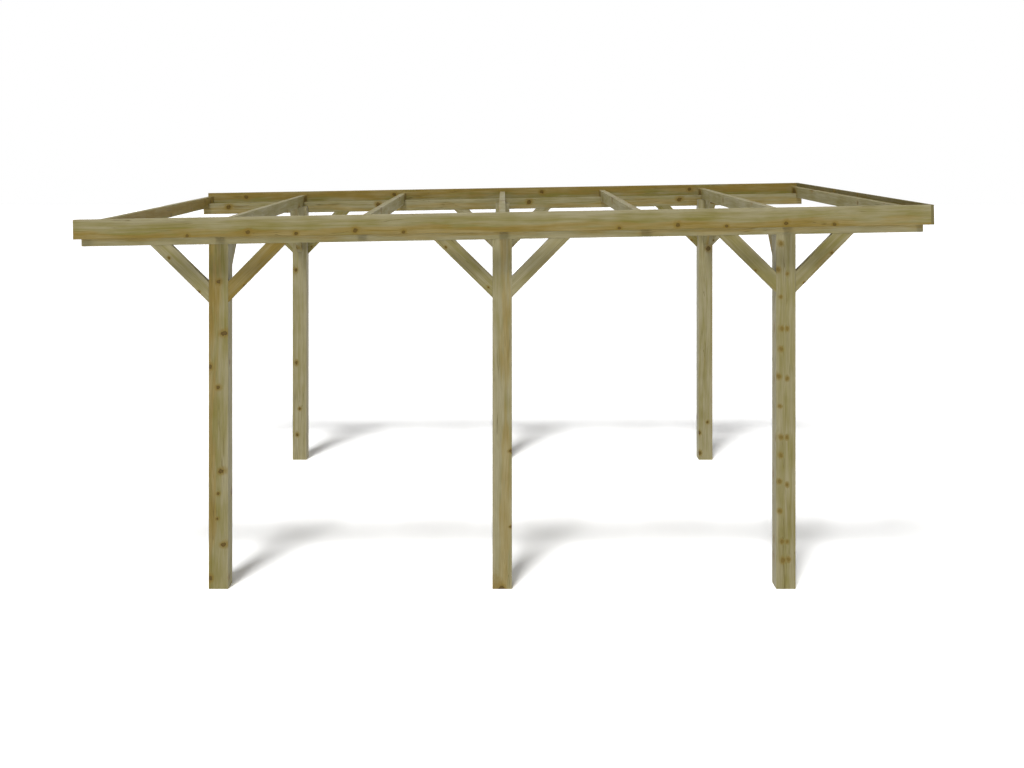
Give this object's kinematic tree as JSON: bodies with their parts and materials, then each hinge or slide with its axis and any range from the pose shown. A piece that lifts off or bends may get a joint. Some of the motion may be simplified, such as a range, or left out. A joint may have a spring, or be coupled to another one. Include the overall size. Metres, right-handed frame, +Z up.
{
  "type": "open timber carport frame",
  "caption": "Open softwood carport frame: posts with knee braces carry purlins and notched rafters, with fascia boards round three sides of a gently sloping flat roof.",
  "frame": {"origin": "on the ground, under the centre of the whole frame's bounding box", "axes": "+X along the purlins to the high end of the roof, +Y across from the near row of posts to the far row, +Z up"},
  "size_m": [5.184, 3.456, 2.3663],
  "materials": {
    "post_timber": "planed, green pressure-treated softwood, matt",
    "purlin_timber": "planed, green pressure-treated softwood, matt",
    "rafter_timber": "planed, green pressure-treated softwood, matt",
    "fascia_board": "planed, green pressure-treated softwood, matt",
    "brace_timber": "planed, green pressure-treated softwood, matt"
  },
  "bodies": {
    "root": {"purlin_near": "purlin_timber", "fascia_near": "fascia_board", "post_near_1": "post_timber", "knee_brace_near_1_low": "brace_timber", "knee_brace_near_1_high": "brace_timber", "cross_brace_near_1": "brace_timber", "post_near_2": "post_timber", "knee_brace_near_2_low": "brace_timber", "knee_brace_near_2_high": "brace_timber", "cross_brace_near_2": "brace_timber", "post_near_3": "post_timber", "knee_brace_near_3_low": "brace_timber", "knee_brace_near_3_high": "brace_timber", "cross_brace_near_3": "brace_timber", "purlin_far": "purlin_timber", "fascia_far": "fascia_board", "post_far_1": "post_timber", "knee_brace_far_1_low": "brace_timber", "knee_brace_far_1_high": "brace_timber", "cross_brace_far_1": "brace_timber", "post_far_2": "post_timber", "knee_brace_far_2_low": "brace_timber", "knee_brace_far_2_high": "brace_timber", "cross_brace_far_2": "brace_timber", "post_far_3": "post_timber", "knee_brace_far_3_low": "brace_timber", "knee_brace_far_3_high": "brace_timber", "cross_brace_far_3": "brace_timber", "fascia_high_end": "fascia_board", "rafter_1": "rafter_timber", "rafter_2": "rafter_timber", "rafter_3": "rafter_timber", "rafter_4": "rafter_timber", "rafter_5": "rafter_timber", "rafter_6": "rafter_timber", "rafter_7": "rafter_timber"}
  },
  "joints": []
}
